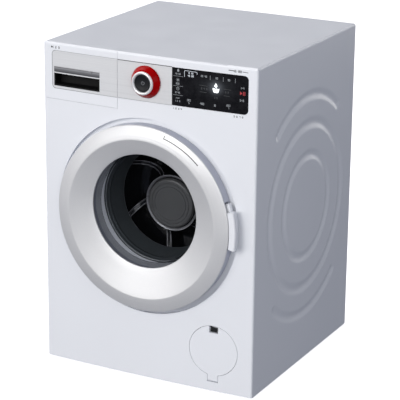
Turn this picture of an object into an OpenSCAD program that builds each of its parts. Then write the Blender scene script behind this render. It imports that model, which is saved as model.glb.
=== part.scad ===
// Toy washing machine: a bowed front casing with a round door, a turning drum driven by a
// geared motor, a sliding detergent drawer, a selector knob and a service flap.
// The drawing frame is: x to the right, y from the front corner edges to the back, z up from
// the casing's lower edge. place() moves it so that the origin is under the middle of the
// whole toy, on the surface it stands on.

/* [Body] */
// Width of the casing
body_w = 184; // [183:0.5:187]
// Depth of the casing, from the front corners to the back
body_d = 180; // [178:1:190]
// Height of the casing, without its feet
body_h = 260; // [259.5:0.5:262]
// How far the middle of the front bows forward
bow = 2.3; // [2:0.1:2.6]
// Wall thickness of the casing
wall = 2.5; // [2.3:0.1:2.6]
// Rounding of the casing's outer edges
edge_r = 1.8; // [1.4:0.1:2.2]
// Height of the rubber feet under the casing
foot_h = 1; // [0.8:0.1:1.4]
// Depth of the ring grooves in the sides
groove_d = 1.1; // [0.6:0.1:1.3]

/* [Door] */
// Height of the door's middle above the casing's lower edge
door_z = 132.7; // [132.5:0.1:133]
// Outer radius of the silver ring
door_r = 74.3; // [74:0.1:74.5]
// Radius of the ring's front crest
crest_r = 63.2; // [62:0.1:64]
// How far the crest stands in front of the front corners
crest_y = 12; // [11.5:0.1:12.5]
// Radius of the window opening
win_r = 45.2; // [44.8:0.1:45.4]
// Height of the window's middle, higher than the door's
win_z = 138; // [137.8:0.1:138.2]
// Radius of the round recess that the door sits in
recess_r = 78.2; // [78:0.1:78.6]

/* [Drum] */
// Height of the drum's axis
drum_z = 132.5; // [132.3:0.1:132.7]
// Number of vanes inside the drum
vanes = 6; // [3, 4, 5, 6]
// Teeth on the drum's gear
gear_n = 56; // [56]
// Teeth on the motor's pinion
pinion_n = 14; // [14]
// Size of one tooth: pitch diameter over number of teeth
tooth_m = 1; // [1]

/* [Controls] */
// Height of the knob's middle
knob_z = 239.5; // [239:0.1:240]
// Radius of the knob's foot
knob_r = 12.5; // [11.5:0.1:13]
// Right edge of the drawer front
seam_x = -25; // [-25.5:0.1:-24.5]
// Lower edge of the drawer front
seam_z = 215.4; // [215.2:0.1:215.8]

/* [Hidden] */
$fn = 96;

gap = 0.35;                                  // gap around parts that move past each other
y_shift = -(body_d - crest_y) / 2;           // middle of the whole depth, crest to back
half = body_w / 2;
bow_r = (half * half + bow * bow) / (2 * bow);
function bow_y(x) = bow_r - bow - sqrt(bow_r * bow_r - x * x);
floor_y = 1.6;                               // front of the recess floor
floor_t = 2.5;
port_r = 46.9;
port_end = 14.1;
film_t = 0.35;
glass_t = 1.2;
hinge_x = -72;
hinge_y = -4;
lever_x = 65.8;
lever_y = -4.2;
flap_x = 58.9;
flap_z = 33.5;
flap_r = 20.3;
flap_axis_z = 9;
gear_r = gear_n * tooth_m / 2;
pinion_r = pinion_n * tooth_m / 2;
motor_z = drum_z - gear_r - pinion_r;
side_y = 92;
side_z = 130;
ringpos = [45, 135, 225, 315];
rear_y = body_d - 2.5;
bat_z = [22.3, 39, 55.7];
lid_axis_z = 10.3;
lid_axis_y = body_d - 1.2;

// ---- placing and drawing helpers ----
module place() translate([0, y_shift, foot_h]) children();
// local z looks to the back of the toy
module about(x, z, y = 0) translate([x, y, z]) rotate([-90, 0, 0]) children();
// a flat shape in x and z, between two depths
module xz(y0, y1) translate([0, y1, 0]) rotate([90, 0, 0]) linear_extrude(y1 - y0) children();
// a flat shape in y and z, between two widths
module yz(x0, x1) translate([x0, 0, 0]) rotate([90, 0, 90]) linear_extrude(x1 - x0) children();
module box(a, b) translate(a) cube([b[0] - a[0], b[1] - a[1], b[2] - a[2]]);
module ycyl(x, z, y0, y1, r) about(x, z, y0) cylinder(r = r, h = y1 - y0);
module zcyl(x, y, z0, z1, r) translate([x, y, z0]) cylinder(r = r, h = z1 - z0);
module xcyl(y, z, x0, x1, r) translate([x0, y, z]) rotate([0, 90, 0]) cylinder(r = r, h = x1 - x0);
module turned(x, z) about(x, z) rotate_extrude() children();

module rrect(x0, z0, x1, z1, r) {
  translate([x0 + r, z0]) square([x1 - x0 - 2 * r, z1 - z0]);
  if (z1 - z0 - 2 * r > 0.01) translate([x0, z0 + r]) square([x1 - x0, z1 - z0 - 2 * r]);
  for (x = [x0 + r, x1 - r], z = [z0 + r, z1 - r]) translate([x, z]) circle(r);
}

// everything behind the bowed front, set back by off, with a rounded top front edge, in k strips
module bow_solid(off = 0, r = 0, z0 = 0, z1 = body_h, a0 = -3.4, a1 = 3.4, k = 1)
  for (i = [0:k - 1]) translate([0, bow_r - bow, 0]) rotate([0, 0, -90 + a0 + (a1 - a0) * i / k])
    rotate_extrude(angle = (a1 - a0) / k, $fn = 3600) {
      translate([bow_r - off - 230, z0]) square([230, z1 - z0 - r]);
      if (r > 0) {
        translate([bow_r - off - 230, z0]) square([230 - r, z1 - z0]);
        translate([bow_r - off - r, z1 - r]) circle(r, $fn = 64);
      }
    }
// a bowed sheet between two depths behind the front surface
module bow_sheet(o0, o1, z0, z1)
  translate([0, bow_r - bow, 0]) rotate([0, 0, -93.4]) rotate_extrude(angle = 6.8, $fn = 3600)
    translate([bow_r - o1, z0]) square([o1 - o0, z1 - z0]);

module plan() {
  c = half - edge_r;
  yc = edge_r + bow_y(c);
  translate([-c, -6]) square([2 * c, body_d + 6]);
  translate([-half, yc]) square([body_w, body_d - yc]);
  for (s = [-1, 1]) translate([s * c, yc]) circle(edge_r, $fn = 64);
}
module arch() {
  translate([-half, 0]) square([body_w, body_h - edge_r]);
  translate([-half + edge_r, 0]) square([body_w - 2 * edge_r, body_h]);
  for (s = [-1, 1]) translate([s * (half - edge_r), body_h - edge_r]) circle(edge_r, $fn = 64);
}
module body_outer(a1 = 3.4, k = 1) intersection() {
  bow_solid(0, edge_r, 0, body_h, -3.4, a1, k);
  linear_extrude(body_h) plan();
  xz(-5, body_d) arch();
}

// soft groove profile: a raised cosine across the width, seen in radius and depth
function groove_pts(rm, w, d, n = 10) = concat(
  [for (i = [0:n]) let (t = i / n) [rm - w / 2 + w * t, -d * pow(sin(180 * t), 2)]],
  [[rm + w / 2, 2], [rm - w / 2, 2]]);
module groove(rm, w, a0 = 0, a1 = 360) {
  if (a1 - a0 >= 360) rotate_extrude() polygon(groove_pts(rm, w, groove_d));
  else {
    rotate([0, 0, a0]) rotate_extrude(angle = a1 - a0) polygon(groove_pts(rm, w, groove_d));
    for (a = [a0, a1]) rotate([0, 0, a]) translate([rm, 0, 0])
      rotate_extrude() polygon(concat(
        [for (i = [0:5]) let (t = i / 10) [w * t, -groove_d * pow(cos(180 * t), 2)]],
        [[w / 2, 2], [0, 2]]));
  }
}
// the pressed rings, drawn on a plane whose local z points out of the side
module side_rings() {
  groove(41.5, 11);
  groove(67, 12);
  groove(89.5, 11, 52, 128);
  groove(89.5, 11, 232, 308);
}

// ---- gear teeth ----
function deg_inv(r, rb) = sqrt(max(0, r * r / (rb * rb) - 1)) * 180 / PI - acos(min(1, rb / r));
function tooth(n, m, add, ded, play) =
  let (rp = n * m / 2, rb = rp * cos(20), ra = rp + add, rf = rp - ded,
       hp = 90 / n - play / rp * 90 / PI, r0 = max(rb, rf), k = 5,
       hh = [for (i = [0:k]) let (r = r0 + (ra - r0) * i / k) [r, hp + deg_inv(rp, rb) - deg_inv(r, rb)]])
  concat([[rf, -hh[0][1] - 0.3]], [for (p = hh) [p[0], -p[1]]],
         [for (i = [k:-1:0]) hh[i]], [[rf, hh[0][1] + 0.3]]);
module gear2d(n, m, add, ded, play) {
  t = tooth(n, m, add, ded, play);
  polygon([for (i = [0:n - 1]) for (p = t) let (a = 360 * i / n + p[1]) [p[0] * cos(a), p[0] * sin(a)]]);
}

// ---- wire ----
module tube(path, r, up = [0.31, 0.22, 0.93], m = 8) {
  n = len(path);
  t = [for (i = [0:n - 1]) let (d = path[min(i + 1, n - 1)] - path[max(i - 1, 0)]) d / norm(d)];
  pts = [for (i = [0:n - 1]) let (a0 = cross(t[i], up), a = a0 / norm(a0), b = cross(t[i], a))
    for (j = [0:m - 1]) path[i] + r * (cos(360 * j / m) * a + sin(360 * j / m) * b)];
  polyhedron(points = pts, faces = concat(
    [for (i = [0:n - 2], j = [0:m - 1]) [i * m + j, (i + 1) * m + j, (i + 1) * m + (j + 1) % m]],
    [for (i = [0:n - 2], j = [0:m - 1]) [i * m + j, (i + 1) * m + (j + 1) % m, i * m + (j + 1) % m]],
    [for (j = [1:m - 2]) [0, j, j + 1]],
    [for (j = [1:m - 2]) [(n - 1) * m, (n - 1) * m + j + 1, (n - 1) * m + j]]));
}
module coil(r, wire, pitch, turns, n = 12, m = 6)
  tube([for (i = [0:round(turns * n)]) let (a = 360 * i / n) [r * cos(a), r * sin(a), pitch * i / n]],
       wire, [0, 0, 1], m);
function curve(p, k = 4) = concat(
  [for (i = [0:len(p) - 2], j = [0:k - 1])
    let (a = p[max(i - 1, 0)], b = p[i], c = p[i + 1], d = p[min(i + 2, len(p) - 1)], t = j / k)
      0.5 * (2 * b + (c - a) * t + (2 * a - 5 * b + 4 * c - d) * t * t + (3 * b - a - 3 * c + d) * t * t * t)],
  [p[len(p) - 1]]);

// a screw along local z: head from 0 to hh, shank forward to -len
module screw(hr, hh, sr, len) {
  difference() {
    cylinder(r = hr, h = hh);
    for (a = [0, 90]) rotate([0, 0, a]) translate([-hr * 0.6, -hr * 0.12, hh - hh * 0.45]) cube([hr * 1.2, hr * 0.24, hh]);
  }
  translate([0, 0, -len]) cylinder(r = sr, h = len);
}

// ================= casing =================
case_pts = [for (x = [-81, 81], z = [12, 130, 248]) [x, z]];
base_pts = [for (x = [-81, 81], y = [14, 138]) [x, y]];
board_pts = [for (x = [-13, 78], z = [224.5, 249.5]) [x, z]];

module flap_shape(g) {
  translate([flap_x, flap_z]) circle(flap_r + g);
  translate([54.5 - g, flap_axis_z - 1.3 - g]) square([8.6 + 2 * g, 14]);
}

module cabinet_shell() color([0.93, 0.94, 0.96]) place() difference() {
  union() {
    difference() {
      body_outer();
      intersection() {
        bow_solid(wall, 0, -1, body_h - wall);
        box([-half + wall, -5, -1], [half - wall, body_d + 1, body_h - wall]);
      }
    }
    // round recess with the port's tunnel
    intersection() {
      ycyl(0, door_z, -6, floor_y + floor_t, recess_r + wall);
      bow_solid(1);
    }
    ycyl(0, win_z, floor_y, port_end, port_r + wall);
    // frame around the drawer
    intersection() {
      body_outer();
      box([-half, -3, seam_z - wall], [seam_x + 0.15 + wall, 5.75, body_h]);
    }
    // pillars for the tub
    for (a = ringpos) ycyl(64 * cos(a), drum_z + 64 * sin(a), floor_y + 1, 28, 4);
    // bosses for the board
    for (p = board_pts) ycyl(p[0], p[1], 0.1, 12, 3);
    // pillars for the rear cover, tied to the side walls
    for (p = case_pts) {
      ycyl(p[0], p[1], 150, rear_y, 4.5);
      box([p[0] > 0 ? p[0] : -half + 1, 150, p[1] - 1.2], [p[0] > 0 ? half - 1 : p[0], rear_y, p[1] + 1.2]);
    }
    // pillars for the base
    for (p = base_pts) {
      zcyl(p[0], p[1], 2.5, 16, 4.5);
      box([p[0] > 0 ? p[0] : -half + 1, p[1] - 1.2, 2.5], [p[0] > 0 ? half - 1 : p[0], p[1] + 1.2, 16]);
    }
  }
  // recess and port
  ycyl(0, door_z, -8, floor_y, recess_r);
  ycyl(0, win_z, 0, 20, port_r);
  // room for the drawer front and the tray
  box([-half - 5, -8, seam_z], [seam_x + 0.15, 3.75, body_h + 5]);
  box([-86, 3, 219], [-29, 7, 252]);
  // shallow pockets for the film and the display
  intersection() {
    bow_sheet(-2, film_t, 220, 258);
    xz(-8, 4) difference() {
      rrect(-84, 224, 84.6, 254, 3.2);
      translate([22, 200]) square([80, 70]);
    }
  }
  intersection() {
    bow_sheet(-2, glass_t, 220, 258);
    xz(-8, 4) difference() {
      rrect(15, 224.35, 84.65, 253.65, 3.4);
      translate([0, 200]) square([22, 70]);
    }
  }
  box([38, -4, 231], [68, 4, 248]);
  // knob shaft
  ycyl(0, knob_z, -8, 4, 3.5);
  // service flap with its pin holes
  xz(-8, 6) flap_shape(gap);
  xcyl(-0.1 + bow_y(flap_x) + 1.3, flap_axis_z, 52.4, 65.2, 0.85);
  // hinge arm and latch hook
  box([-73.6, 0, door_z - 10], [-70.4, 8, door_z + 10]);
  box([61.2, 0, 131.4], [71.6, 8, 144.6]);
  // screw holes
  for (a = ringpos) ycyl(64 * cos(a), drum_z + 64 * sin(a), 15, 29, 1.5);
  for (p = board_pts) ycyl(p[0], p[1], 4, 13, 1);
  for (p = case_pts) ycyl(p[0], p[1], 164, rear_y + 1, 1.5);
  for (p = base_pts) zcyl(p[0], p[1], 1, 14, 1.5);
  for (z = [-12, 12]) ycyl(-63, door_z + z, 2.6, 5, 1.2);
  // pressed rings in both sides
  translate([half, side_y, side_z]) rotate([90, 0, 90]) side_rings();
  translate([-half, side_y, side_z]) rotate([90, 0, -90]) side_rings();
}

module rear_cover() color([0.9, 0.91, 0.93]) place() difference() {
  union() {
    box([-half + wall + 0.3, rear_y, 2.8], [half - wall - 0.3, body_d, body_h - wall - 0.3]);
    // rim that stiffens the edge
    difference() {
      box([-74, rear_y - 5, 74], [74, rear_y + 0.5, 252]);
      box([-72.2, rear_y - 6, 75.8], [72.2, rear_y, 250.2]);
    }
    // speaker cup
    ycyl(46, 205, rear_y - 8, rear_y + 0.5, 20.4);
    // boss for the lid's screw
    ycyl(0, 71.5, rear_y - 8, rear_y + 0.5, 3.8);
  }
  ycyl(46, 205, rear_y - 9, rear_y - 0.5, 18.3);
  // speaker slots
  for (i = [-3:3]) let (w = 15 * cos(asin(i / 4.2)))
    xz(rear_y - 2, body_d + 1) rrect(46 - w, 205 + i * 4.2 - 0.8, 46 + w, 205 + i * 4.2 + 0.8, 0.8);
  // air slots
  for (i = [0:7]) xz(rear_y - 2, body_d + 1) rrect(-62, 186 + i * 6, -20, 187.8 + i * 6, 0.9);
  // raised-looking panel line
  xz(body_d - 0.6, body_d + 1) difference() {
    rrect(-70, 84, 70, 172, 8);
    rrect(-68.8, 85.2, 68.8, 170.8, 6.8);
  }
  // battery opening and lid seat
  box([-31.2, rear_y - 1, 13.8], [31.2, body_d + 1, 64.2]);
  xz(body_d - 1.6, body_d + 1) rrect(-35, lid_axis_z - 1.4, 35, 76.3, 1);
  box([-35, rear_y - 1, lid_axis_z - 1.4], [35, body_d, lid_axis_z + 1.4]);
  xcyl(lid_axis_y, lid_axis_z, -36.6, 36.6, 0.75);
  ycyl(0, 71.5, rear_y - 9, body_d, 2);
  // case screws
  for (p = case_pts) {
    ycyl(p[0], p[1], rear_y - 1, body_d + 1, 1.7);
    ycyl(p[0], p[1], body_d - 1.5, body_d + 1, 3.6);
  }
}

module base_plate() color([0.86, 0.87, 0.89]) place() difference() {
  union() {
    intersection() {
      box([-half + wall + 0.3, -2, 0], [half - wall - 0.3, rear_y - 0.3, 2.5]);
      bow_solid(wall + 0.3, 0, -1, 4);
    }
    for (x = [-50, 0, 50]) box([x - 0.9, 26, 2.4], [x + 0.9, 150, 8]);
    for (y = [50, 100, 146]) box([-70, y - 0.9, 2.4], [70, y + 0.9, 8]);
  }
  for (p = base_pts) {
    zcyl(p[0], p[1], -1, 3, 1.7);
    zcyl(p[0], p[1], -1, 1.5, 3.6);
  }
  for (x = [-68, 68], y = [24, 152]) {
    zcyl(x, y, -1, 3, 2.5);
  }
  for (i = [0:5]) translate([-20 + i * 8, 66, -1]) cube([2, 24, 5]);
}

module rubber_feet() color([0.18, 0.18, 0.19]) place() for (x = [-68, 68], y = [24, 152]) {
  translate([x, y, 0]) rotate_extrude()
    polygon([[0, -foot_h], [8.2, -foot_h], [9, -foot_h + 0.5], [9, 0], [2.5, 0], [2.5, 2.5], [3.6, 2.9], [3.6, 3.6], [2, 4.6], [0, 4.6]]);
}

module case_screws() color("silver") place()
  for (p = case_pts) about(p[0], p[1], body_d - 1.5) screw(3.1, 1.2, 1.5, 12);

module base_screws() color("silver") place()
  for (p = base_pts) translate([p[0], p[1], 1.5]) rotate([180, 0, 0]) screw(3.1, 1.2, 1.5, 11);

// ================= controls =================
module control_label() color([0.83, 0.84, 0.85]) place() difference() {
  intersection() {
    bow_sheet(0, film_t, 220, 258);
    xz(-8, 4) translate([seam_x + 0.15, 224.12]) square([22 - seam_x - 0.15, 29.76]);
  }
  ycyl(0, knob_z, -8, 4, 3.9);
}

module display_window() color([0.04, 0.04, 0.05]) place() intersection() {
  bow_sheet(-0.05, glass_t, 220, 258);
  xz(-8, 4) intersection() {
    rrect(10, 224.5, 84.5, 253.5, 3.3);
    translate([22, 200]) square([80, 70]);
  }
}

module control_board() color([0.1, 0.4, 0.22]) place() difference() {
  box([-17, 12, 220.5], [82, 13.6, 253]);
  for (p = board_pts) ycyl(p[0], p[1], 11, 15, 1.3);
}

module board_parts() color([0.15, 0.15, 0.16]) place() {
  box([24, 13.6, 232], [38, 16, 246]);
  box([14, 13.6, 222], [32, 20, 228]);
  box([46, 13.6, 223], [56, 18, 229]);
  for (x = [46, 54]) ycyl(x, 240, 13.6, 21, 3);
  box([62, 13.6, 236], [70, 15.4, 244]);
  for (i = [0:4]) box([-9.8 + i * 4.5, 13.6, 222.5], [-7.3 + i * 4.5, 14.8, 224]);
}

module board_screws() color("silver") place()
  for (p = board_pts) about(p[0], p[1], 13.6) screw(2.3, 1.3, 1, 9);

module selector_switch() color([0.2, 0.2, 0.22]) place() difference() {
  union() {
    box([-9, 6, knob_z - 9], [9, 12, knob_z + 9]);
    ycyl(0, knob_z, 4.4, 6.5, 5.4);
  }
  ycyl(0, knob_z, 4, 10, 3.18);
  ycyl(0, knob_z, 9.5, 13, 2.6);
}

module push_switch() color([0.3, 0.3, 0.32]) place() {
  ycyl(0, knob_z, 10.9, 12, 2.4);
  ycyl(0, knob_z, 10.25, 11, 1);
}

module lamps() color([0.9, 0.95, 1]) place() for (x = [44, 53, 62]) {
  ycyl(x, 239.5, 8, 12, 1.5);
  translate([x, 8, 239.5]) sphere(r = 1.5, $fn = 32);
}

module speaker() color([0.25, 0.25, 0.26]) place() {
  turned(46, 205) polygon([[0, 162], [8, 162], [8, 166], [18.3, 171], [18.3, 173.6], [16.4, 173.6], [15, 172.6], [8, 170], [4, 171.5], [0, 172]]);
  for (s = [-1, 1]) box([46 + s * 4 - 1, 160.6, 203], [46 + s * 4 + 1, 162, 207]);
}

module wires() color([0.7, 0.1, 0.1]) place() {
  for (s = [0, 1]) {
    tube(curve([[18 + 3 * s, 20.2, 225], [19 + 3 * s, 28, 219], [24 + 2 * s, 60, 206], [28 + 2 * s, 104, 198], [27 + 2 * s, 132, 160], [16 + 1.6 * s, 138, 118], [-4 + 8 * s, 129.4, 97.5]]), 0.6);
    tube(curve([[26 + 3 * s, 20.2, 225], [34 + 2 * s, 30, 219], [58 + 2 * s, 74, 208], [68 + 2 * s, 122, 172], [64 + 2 * s, 146, 112], [48 + 2 * s, 160, 84], [33.8, 163 + 5 * s, 60]]), 0.6);
    tube(curve([[48 + 4 * s, 18.2, 226], [50 + 3 * s, 40, 216], [60 + 2 * s, 96, 210], [58 + 2 * s, 140, 206], [42 + 8 * s, 160, 205]]), 0.6);
  }
}

// ================= wash unit =================
module port_seal() color([0.13, 0.14, 0.15]) place() turned(0, win_z) polygon([
  [port_r + wall, 8], [51, 8], [51, 16], [46.4, 18.4], [45.6, 22], [42.2, 34], [41.4, 34.7], [40.6, 34.4], [40.4, 33.6],
  [44.2, 20.4], [44.2, 18.4], [45, 17.2], [45, 16], [45.5, 15.2], [46.4, 14.7], [port_r, port_end], [port_r + wall, port_end]]);

module tub() color([0.75, 0.76, 0.78]) place() difference() {
  union() {
    turned(0, drum_z) polygon([
      [8, 76], [11, 76], [12, 78], [57.5, 78], [57.5, 28], [69, 28], [69, 30.4], [60, 30.4], [60, 77],
      [56.6, 80.5], [14, 80.5], [11, 83], [11, 93], [8, 93]]);
    for (i = [0:11]) rotate_about(i * 30 + 15) box([9.5, 79.5, -1], [54, 86, 1]);
    for (x = [-22, 22]) ycyl(x, 84, 80, 88, 4.5);
  }
  for (a = ringpos) ycyl(64 * cos(a), drum_z + 64 * sin(a), 27, 32, 1.8);
  for (x = [-22, 22]) ycyl(x, 84, 79, 89, 1.5);
}
// a shape drawn along +x, turned about the drum's axis
module rotate_about(a) translate([0, 0, drum_z]) rotate([0, a, 0]) children();

module tub_screws() color("silver") place()
  for (a = ringpos) about(64 * cos(a), drum_z + 64 * sin(a), 30.4) screw(3.1, 1.6, 1.5, 13);

module bearing_bush() color([0.72, 0.55, 0.3]) place() turned(0, drum_z)
  polygon([[3.05, 76.6], [8, 76.6], [8, 93], [9.4, 93], [9.4, 93.7], [3.05, 93.7]]);

module motor() color([0.65, 0.66, 0.68]) place() difference() {
  union() {
    intersection() {
      ycyl(0, motor_z, 103, 128, 12);
      box([-12, 100, motor_z - 10], [12, 130, motor_z + 10]);
    }
    ycyl(0, motor_z, 101, 103.1, 3);
    for (x = [-4, 4]) box([x - 1, 128, motor_z - 1], [x + 1, 129, motor_z + 1]);
  }
  ycyl(0, motor_z, 100, 127, 1.06);
  for (s = [-1, 1]) ycyl(s * 9.5, motor_z - 4, 102, 107, 1);
}

module motor_bracket() color([0.8, 0.8, 0.82]) place() difference() {
  union() {
    box([-27, 101, 78], [27, 103, 114]);
    for (x = [-22, 22]) ycyl(x, 84, 88, 101.5, 4.5);
    for (x = [-27, 25]) box([x, 101, 78], [x + 2, 110, 114]);
  }
  ycyl(0, motor_z, 100, 104, 3.05);
  for (s = [-1, 1]) ycyl(s * 9.5, motor_z - 4, 100, 104, 1);
  for (x = [-22, 22]) ycyl(x, 84, 87, 104, 1.5);
}

module motor_screws() color("silver") place() {
  for (s = [-1, 1]) about(s * 9.5, motor_z - 4, 101) rotate([180, 0, 0]) screw(1.8, 0.9, 1, 5);
  for (x = [-22, 22]) about(x, 84, 103) screw(2.8, 1.6, 1.5, 22);
}

// vane seen from the front: a band that leaves the hub radially and sweeps round
module vane_plan() for (i = [0:vanes - 1]) rotate([0, 0, 360 * i / vanes + 5]) intersection() {
  difference() {
    translate([12.4, 37.2]) circle(39.6);
    translate([12.4, 37.2]) circle(36.4);
  }
  translate([17, -8]) square([40, 44]);
}
module drum() color([0.03, 0.03, 0.035]) place() {
  turned(0, drum_z) polygon([
    [52, 37.5], [51.5, 36.95], [50.7, 36.9], [50, 37.5], [49.2, 58], [47.7, 64], [44.4, 68], [38, 70.2], [30, 70.6],
    [26, 69.8], [23.8, 67.6], [22.8, 64], [20.3, 39.5], [18.2, 39.5], [20.6, 64.5], [21.4, 71],
    [7, 71], [7, 54], [3, 54], [3, 75.5], [8, 75.5], [8, 73], [38, 73], [45, 71.4], [50, 67], [52, 60]]);
  intersection() {
    xz(38, 72) translate([0, drum_z]) vane_plan();
    turned(0, drum_z) polygon([
      [21, 46.6], [23.4, 49.4], [27, 51.6], [32, 52.4], [37, 51.2], [41.6, 48.2], [45.2, 44.2], [47.6, 40.8], [49, 38.6], [50.4, 38.6],
      [49.8, 58.6], [48.2, 64.6], [45, 68.8], [38, 71], [30, 71.4], [25, 70.4], [23, 68], [22, 64]]);
  }
}

module drum_hub() color([0.16, 0.16, 0.17]) place() turned(0, drum_z) polygon([
  [0, 36.7], [13.6, 36.7], [13.75, 36.95], [13.9, 36.7], [16.2, 36.7], [16.35, 36.95], [16.5, 36.7], [18.2, 36.7],
  [19.3, 37.1], [20, 38], [20.3, 39.5], [18.2, 39.5], [18, 41.6], [16.8, 41.6], [16.8, 38.6], [0, 38.6]]);

module drum_shaft() color("silver") place() {
  ycyl(0, drum_z, 53.9, 104, 3);
  ycyl(0, drum_z, 52.4, 54, 4.6);
}

module drum_gear() color([0.9, 0.9, 0.86]) place() difference() {
  union() {
    about(0, drum_z, 94.4) rotate([0, 0, 90]) linear_extrude(5) difference() {
      gear2d(gear_n, tooth_m, 0.8, 1.2, 0.12);
      circle(r = 24);
    }
    turned(0, drum_z) polygon([[3, 94.2], [7, 94.2], [7, 95.6], [24.4, 95.6], [24.4, 98], [7, 98], [7, 102.4], [3, 102.4]]);
  }
  for (i = [0:5]) rotate_about(i * 60) ycyl_local(15.6, 0, 94, 100, 5);
}
module ycyl_local(x, z, y0, y1, r) translate([x, y0, z]) rotate([-90, 0, 0]) cylinder(r = r, h = y1 - y0);

module motor_pinion() color([0.9, 0.82, 0.55]) place() about(0, motor_z, 93.6) difference() {
  rotate([0, 0, -90 + 180 / pinion_n]) linear_extrude(6.8) gear2d(pinion_n, tooth_m, 0.8, 1.2, 0.12);
  translate([0, 0, -1]) cylinder(r = 1, h = 10);
}

module motor_shaft() color("silver") place() ycyl(0, motor_z, 92.6, 126.6, 1);

// ================= power =================
module battery_box() color([0.2, 0.2, 0.22]) place() {
  difference() {
    box([-33.4, 156, 11.6], [33.4, rear_y, 66.4]);
    box([-31.6, 157.8, 13.4], [31.6, rear_y + 1, 64.6]);
    // wire slots
    for (y = [163, 168]) xcyl(y, 60, 30, 36, 1.2);
  }
  // cradles between the cells
  for (z = [30.65, 47.35], x = [-14, 14]) box([x - 0.8, 157.4, z - 0.6], [x + 0.8, 163, z + 0.6]);
}
module battery_cells() color([0.75, 0.75, 0.2]) place() for (i = [0:2]) {
  s = i == 1 ? -1 : 1;
  translate([s * -25, 166.4, bat_z[i]]) rotate([0, s * 90, 0]) {
    cylinder(r = 7.1, h = 49.2);
    cylinder(r = 2.7, h = 50.7);
  }
}
module battery_contacts() color("silver") place() for (i = [0:2]) {
  s = i == 1 ? -1 : 1;
  box([s > 0 ? 25.7 : -31.6, 160, bat_z[i] - 4], [s > 0 ? 31.6 : -25.7, 161.2, bat_z[i] + 4]);
  box([s > 0 ? 25.7 : -26.1, 160, bat_z[i] - 4], [s > 0 ? 26.1 : -25.7, 171, bat_z[i] + 4]);
  box([s > 0 ? -31.6 : 31.1, 160.5, bat_z[i] - 5], [s > 0 ? -31.1 : 31.6, 172, bat_z[i] + 5]);
  translate([s * -31, 166.4, bat_z[i]]) rotate([0, s * 90, 0]) coil(3, 0.4, 1.87, 3, 10, 6);
}
module battery_door() color([0.9, 0.91, 0.93]) place() difference() {
  union() {
    xz(body_d - 1.6, body_d) translate([-34.7, lid_axis_z]) square([69.4, 75.95 - lid_axis_z]);
    xcyl(lid_axis_y, lid_axis_z, -34.7, 34.7, 1.1);
    xcyl(lid_axis_y, lid_axis_z, -36.2, 36.2, 0.7);
    box([-30, body_d - 4, 20], [-28.4, body_d - 1.5, 58]);
    box([28.4, body_d - 4, 20], [30, body_d - 1.5, 58]);
  }
  ycyl(0, 71.5, body_d - 3, body_d + 1, 1.5);
  ycyl(0, 71.5, body_d - 1, body_d + 1, 3);
  // grip lines
  for (i = [0:3]) xz(body_d - 0.5, body_d + 1) rrect(-10, 56 + i * 2.4, 10, 57 + i * 2.4, 0.5);
}
module battery_door_screw() color("silver") place()
  about(0, 71.5, body_d - 1) screw(2.7, 0.9, 1.4, 6);

// ================= drawer =================
module drawer_front() color([0.93, 0.94, 0.96]) place() difference() {
  intersection() {
    body_outer();
    box([-half - 1, -4, seam_z + 0.2], [seam_x - 0.1, 3.4, body_h + 1]);
  }
  box([-82.2, -6, 226.2], [-40.8, 5, 241.7]);
  intersection() {
    bow_sheet(-2, film_t, 220, 258);
    xz(-8, 4) rrect(-84.1, 223.9, 0, 254.1, 3.2);
  }
}
module drawer_label() color([0.83, 0.84, 0.85]) place() difference() {
  intersection() {
    bow_sheet(0, film_t, 220, 258);
    xz(-8, 4) intersection() {
      rrect(-83.98, 224.02, 0, 253.98, 3.1);
      translate([-100, 200]) square([100 + seam_x - 0.2, 70]);
    }
  }
  box([-82.2, -6, 226.2], [-40.8, 5, 241.7]);
}
module grip_cup() color([0.03, 0.03, 0.03]) place() difference() {
  intersection() {
    box([-82.2, -4, 226.2], [-40.8, 8.6, 241.7]);
    bow_solid(0.15);
  }
  box([-81, -6, 227.4], [-42, 7.4, 240.8]);
  // slot for the strip
  box([-83, -6, 236.1], [-40, 1, 242]);
}
module grip_strip() color([0.7, 0.71, 0.72]) place() intersection() {
  bow_solid(-0.1, 0, 230, 245, -2.7, -1.2, 4);
  yz(-82.1, -40.9) polygon([[-4, 236.4], [-0.9, 236.2], [-0.2, 236.4], [1, 238.4], [1, 241.6], [-4, 241.6]]);
}
module drawer_tray() color([0.9, 0.91, 0.93]) place() difference() {
  box([-85.5, 3.4, 219.6], [-29.5, 92, 250]);
  // washing compartments
  box([-83.9, 10.4, 221.2], [-60.2, 90.4, 260]);
  box([-58.6, 10.4, 221.2], [-31.1, 48, 260]);
  box([-58.6, 49.6, 221.2], [-31.1, 90.4, 260]);
  // room for the grip cup
  box([-83, 3, 225.8], [-40, 8.8, 242.2]);
  // lower sides at the back
  yz(-90, -20) polygon([[60, 260], [60, 246], [66, 240], [100, 240], [100, 260]]);
}
module drawer_housing() color([0.8, 0.81, 0.83]) place() difference() {
  box([-87.6, 5.75, 217.6], [-27.4, 100, 253.6]);
  box([-86, 5, 219.2], [-29, 98.4, 252]);
}

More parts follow.
